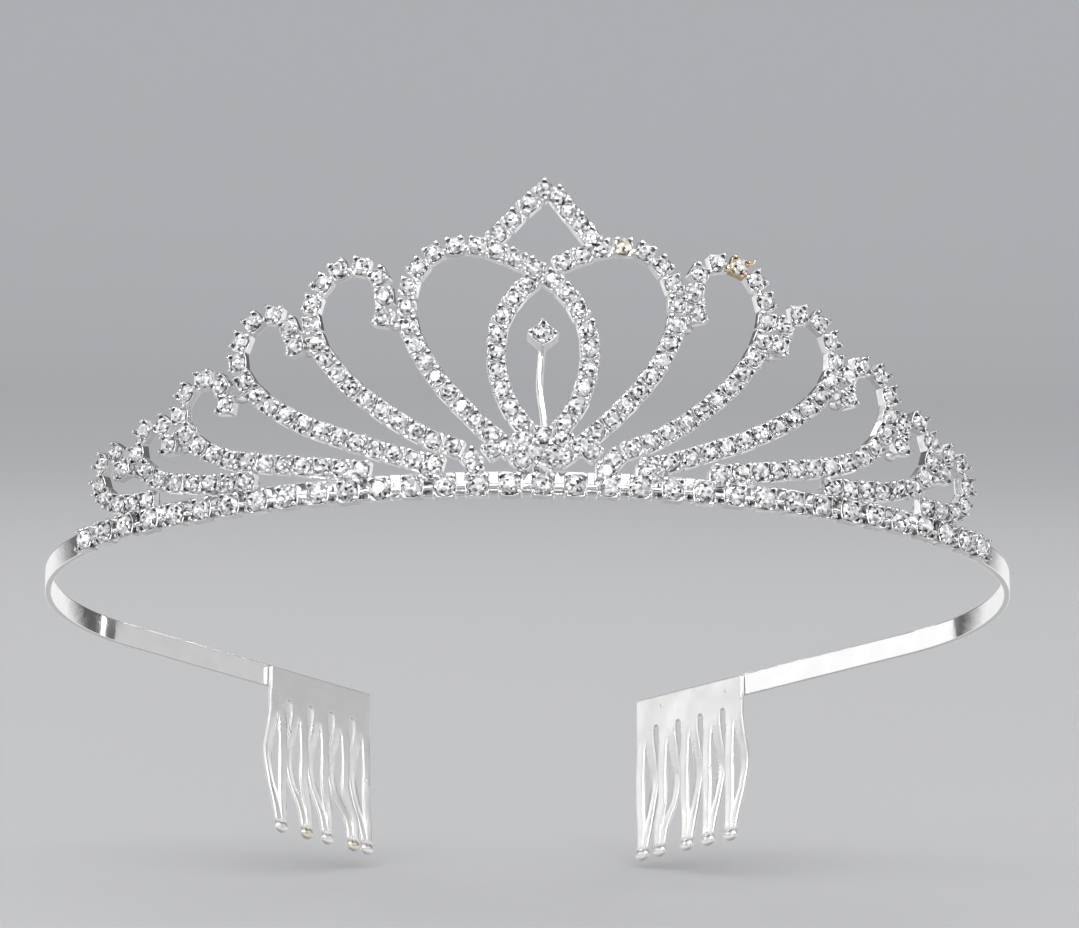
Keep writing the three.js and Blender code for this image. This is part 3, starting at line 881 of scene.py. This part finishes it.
def softbox(name, azimuth, elevation, distance, width, height, power):
    """Area light aimed at the tiara. Azimuth 0 is the camera's side, positive to the viewer's right."""
    a, e = math.radians(azimuth), math.radians(elevation)
    back = Vector((math.sin(a) * math.cos(e), -math.cos(a) * math.cos(e), math.sin(e)))
    light = bpy.data.lights.new(name, "AREA")
    light.shape = "RECTANGLE"
    light.size, light.size_y = width, height
    light.energy = power
    ob = bpy.data.objects.new(name, light)
    ob.location = Vector((0, 0, 0.01)) + back * distance
    ob.rotation_euler = (-back).to_track_quat("-Z", "Y").to_euler()
    ob.visible_camera = False
    bpy.context.scene.collection.objects.link(ob)


# Name, azimuth, elevation, distance, width, height, power.
LIGHTS = [
    ("key_front", -10, 50, 0.9, 0.9, 0.55, 2.6),
    ("key_left", -106, 16, 0.9, 0.58, 0.42, 0.72),
    ("fill_right", 99, 16, 0.9, 0.34, 0.36, 0.19),
    ("key_front_left", -56, 44, 0.9, 0.5, 0.42, 0.9),
    ("key_front_right", 52, 44, 0.9, 0.5, 0.42, 0.9),
    ("front_left_strip", -48, 14, 0.9, 0.16, 0.34, 0.5),
    ("front_right_strip", 42, 14, 0.9, 0.16, 0.34, 0.5),
    ("side_left_strip", -72, 14, 0.9, 0.05, 0.34, 0.2),
    ("side_right_strip", 72, 14, 0.9, 0.05, 0.34, 0.2),
    ("left_streak", -138, 14, 0.9, 0.03, 0.34, 0.1),
    ("right_streak", 118, 14, 0.9, 0.03, 0.34, 0.1),
    ("overhead", 0, 88, 1.1, 1.0, 1.0, 1.6),
    ("back_top", 180, 42, 1.0, 0.7, 0.4, 0.9),
]
# Small bright lamps that make the crystals sparkle: azimuth, elevation, power.
SPARKS = [(-28, 28, 0.5), (24, 38, 0.5), (4, 20, 0.35), (-60, 40, 0.35), (62, 34, 0.35), (150, 30, 0.3),
          (-150, 30, 0.3)]
for light in LIGHTS:
    softbox(*light)
for i, (azimuth, elevation, power) in enumerate(SPARKS):
    softbox(f"spark_{i}", azimuth, elevation, 0.9, 0.08, 0.08, power)


def air():
    """Pale even light for the floor, and a darker room for the metal to reflect."""
    world = bpy.data.worlds.new("studio_air")
    bpy.context.scene.world = world
    world.use_nodes = True
    nt = world.node_tree
    nt.nodes.clear()
    out = nt.nodes.new("ShaderNodeOutputWorld")
    mix = nt.nodes.new("ShaderNodeMixShader")
    path = nt.nodes.new("ShaderNodeLightPath")
    pale, room = nt.nodes.new("ShaderNodeBackground"), nt.nodes.new("ShaderNodeBackground")
    pale.inputs["Color"].default_value = (0.97, 0.98, 1, 1)
    ways = nt.nodes.new("ShaderNodeTexCoord")
    split = nt.nodes.new("ShaderNodeSeparateXYZ")
    nt.links.new(ways.outputs["Generated"], split.inputs[0])
    rise = nt.nodes.new("ShaderNodeMath")
    rise.operation = "MULTIPLY_ADD"
    nt.links.new(split.outputs["Z"], rise.inputs[0])
    rise.inputs[1].default_value = 0.5
    rise.inputs[2].default_value = 0.5
    # From straight down, over the level, to straight up.
    brightness = [(0.0, (0.3,)), (0.25, (0.55,)), (0.38, (0.92,)), (0.49, (0.92,)), (0.53, (0.11,)),
                  (0.8, (0.13,)), (1.0, (0.25,))]
    nt.links.new(ramp(nt, rise.outputs[0], brightness), room.inputs["Color"])
    nt.links.new(path.outputs["Is Glossy Ray"], mix.inputs[0])
    nt.links.new(pale.outputs[0], mix.inputs[1])
    nt.links.new(room.outputs[0], mix.inputs[2])
    nt.links.new(mix.outputs[0], out.inputs["Surface"])


air()
bpy.context.scene.view_settings.view_transform = "Standard"

# The camera is placed in the headband's plane as laid out flat, then tipped with it: about 2 degrees from the
# left of the front, and nearly 16 degrees under the plane.
azimuth, elevation = math.radians(-2.11), math.radians(-15.66)
distance, target_y = 800, 55
aim_right, aim_up = 0.00216, 0.02346
back = Vector((math.cos(elevation) * math.sin(azimuth), -math.cos(elevation) * math.cos(azimuth),
               math.sin(elevation)))
right = Vector((math.cos(azimuth), math.sin(azimuth), 0))
up = right.cross(-back)
eye = Vector((0, target_y - HEAD_CENTRE_Y, 0)) + back * distance
forward = tipped(*(-back + right * aim_right + up * aim_up)).normalized()
side_row = forward.cross(tipped(*up).normalized()).normalized()
up_row = side_row.cross(forward)
camera = bpy.data.cameras.new("camera")
camera.lens = 182.3
camera.sensor_width = 36
camera.clip_start, camera.clip_end = 0.05, 20
ob = bpy.data.objects.new("camera", camera)
ob.location = tipped(*eye)
ob.rotation_euler = Matrix((side_row, up_row, -forward)).transposed().to_euler()
bpy.context.scene.collection.objects.link(ob)
bpy.context.scene.camera = ob
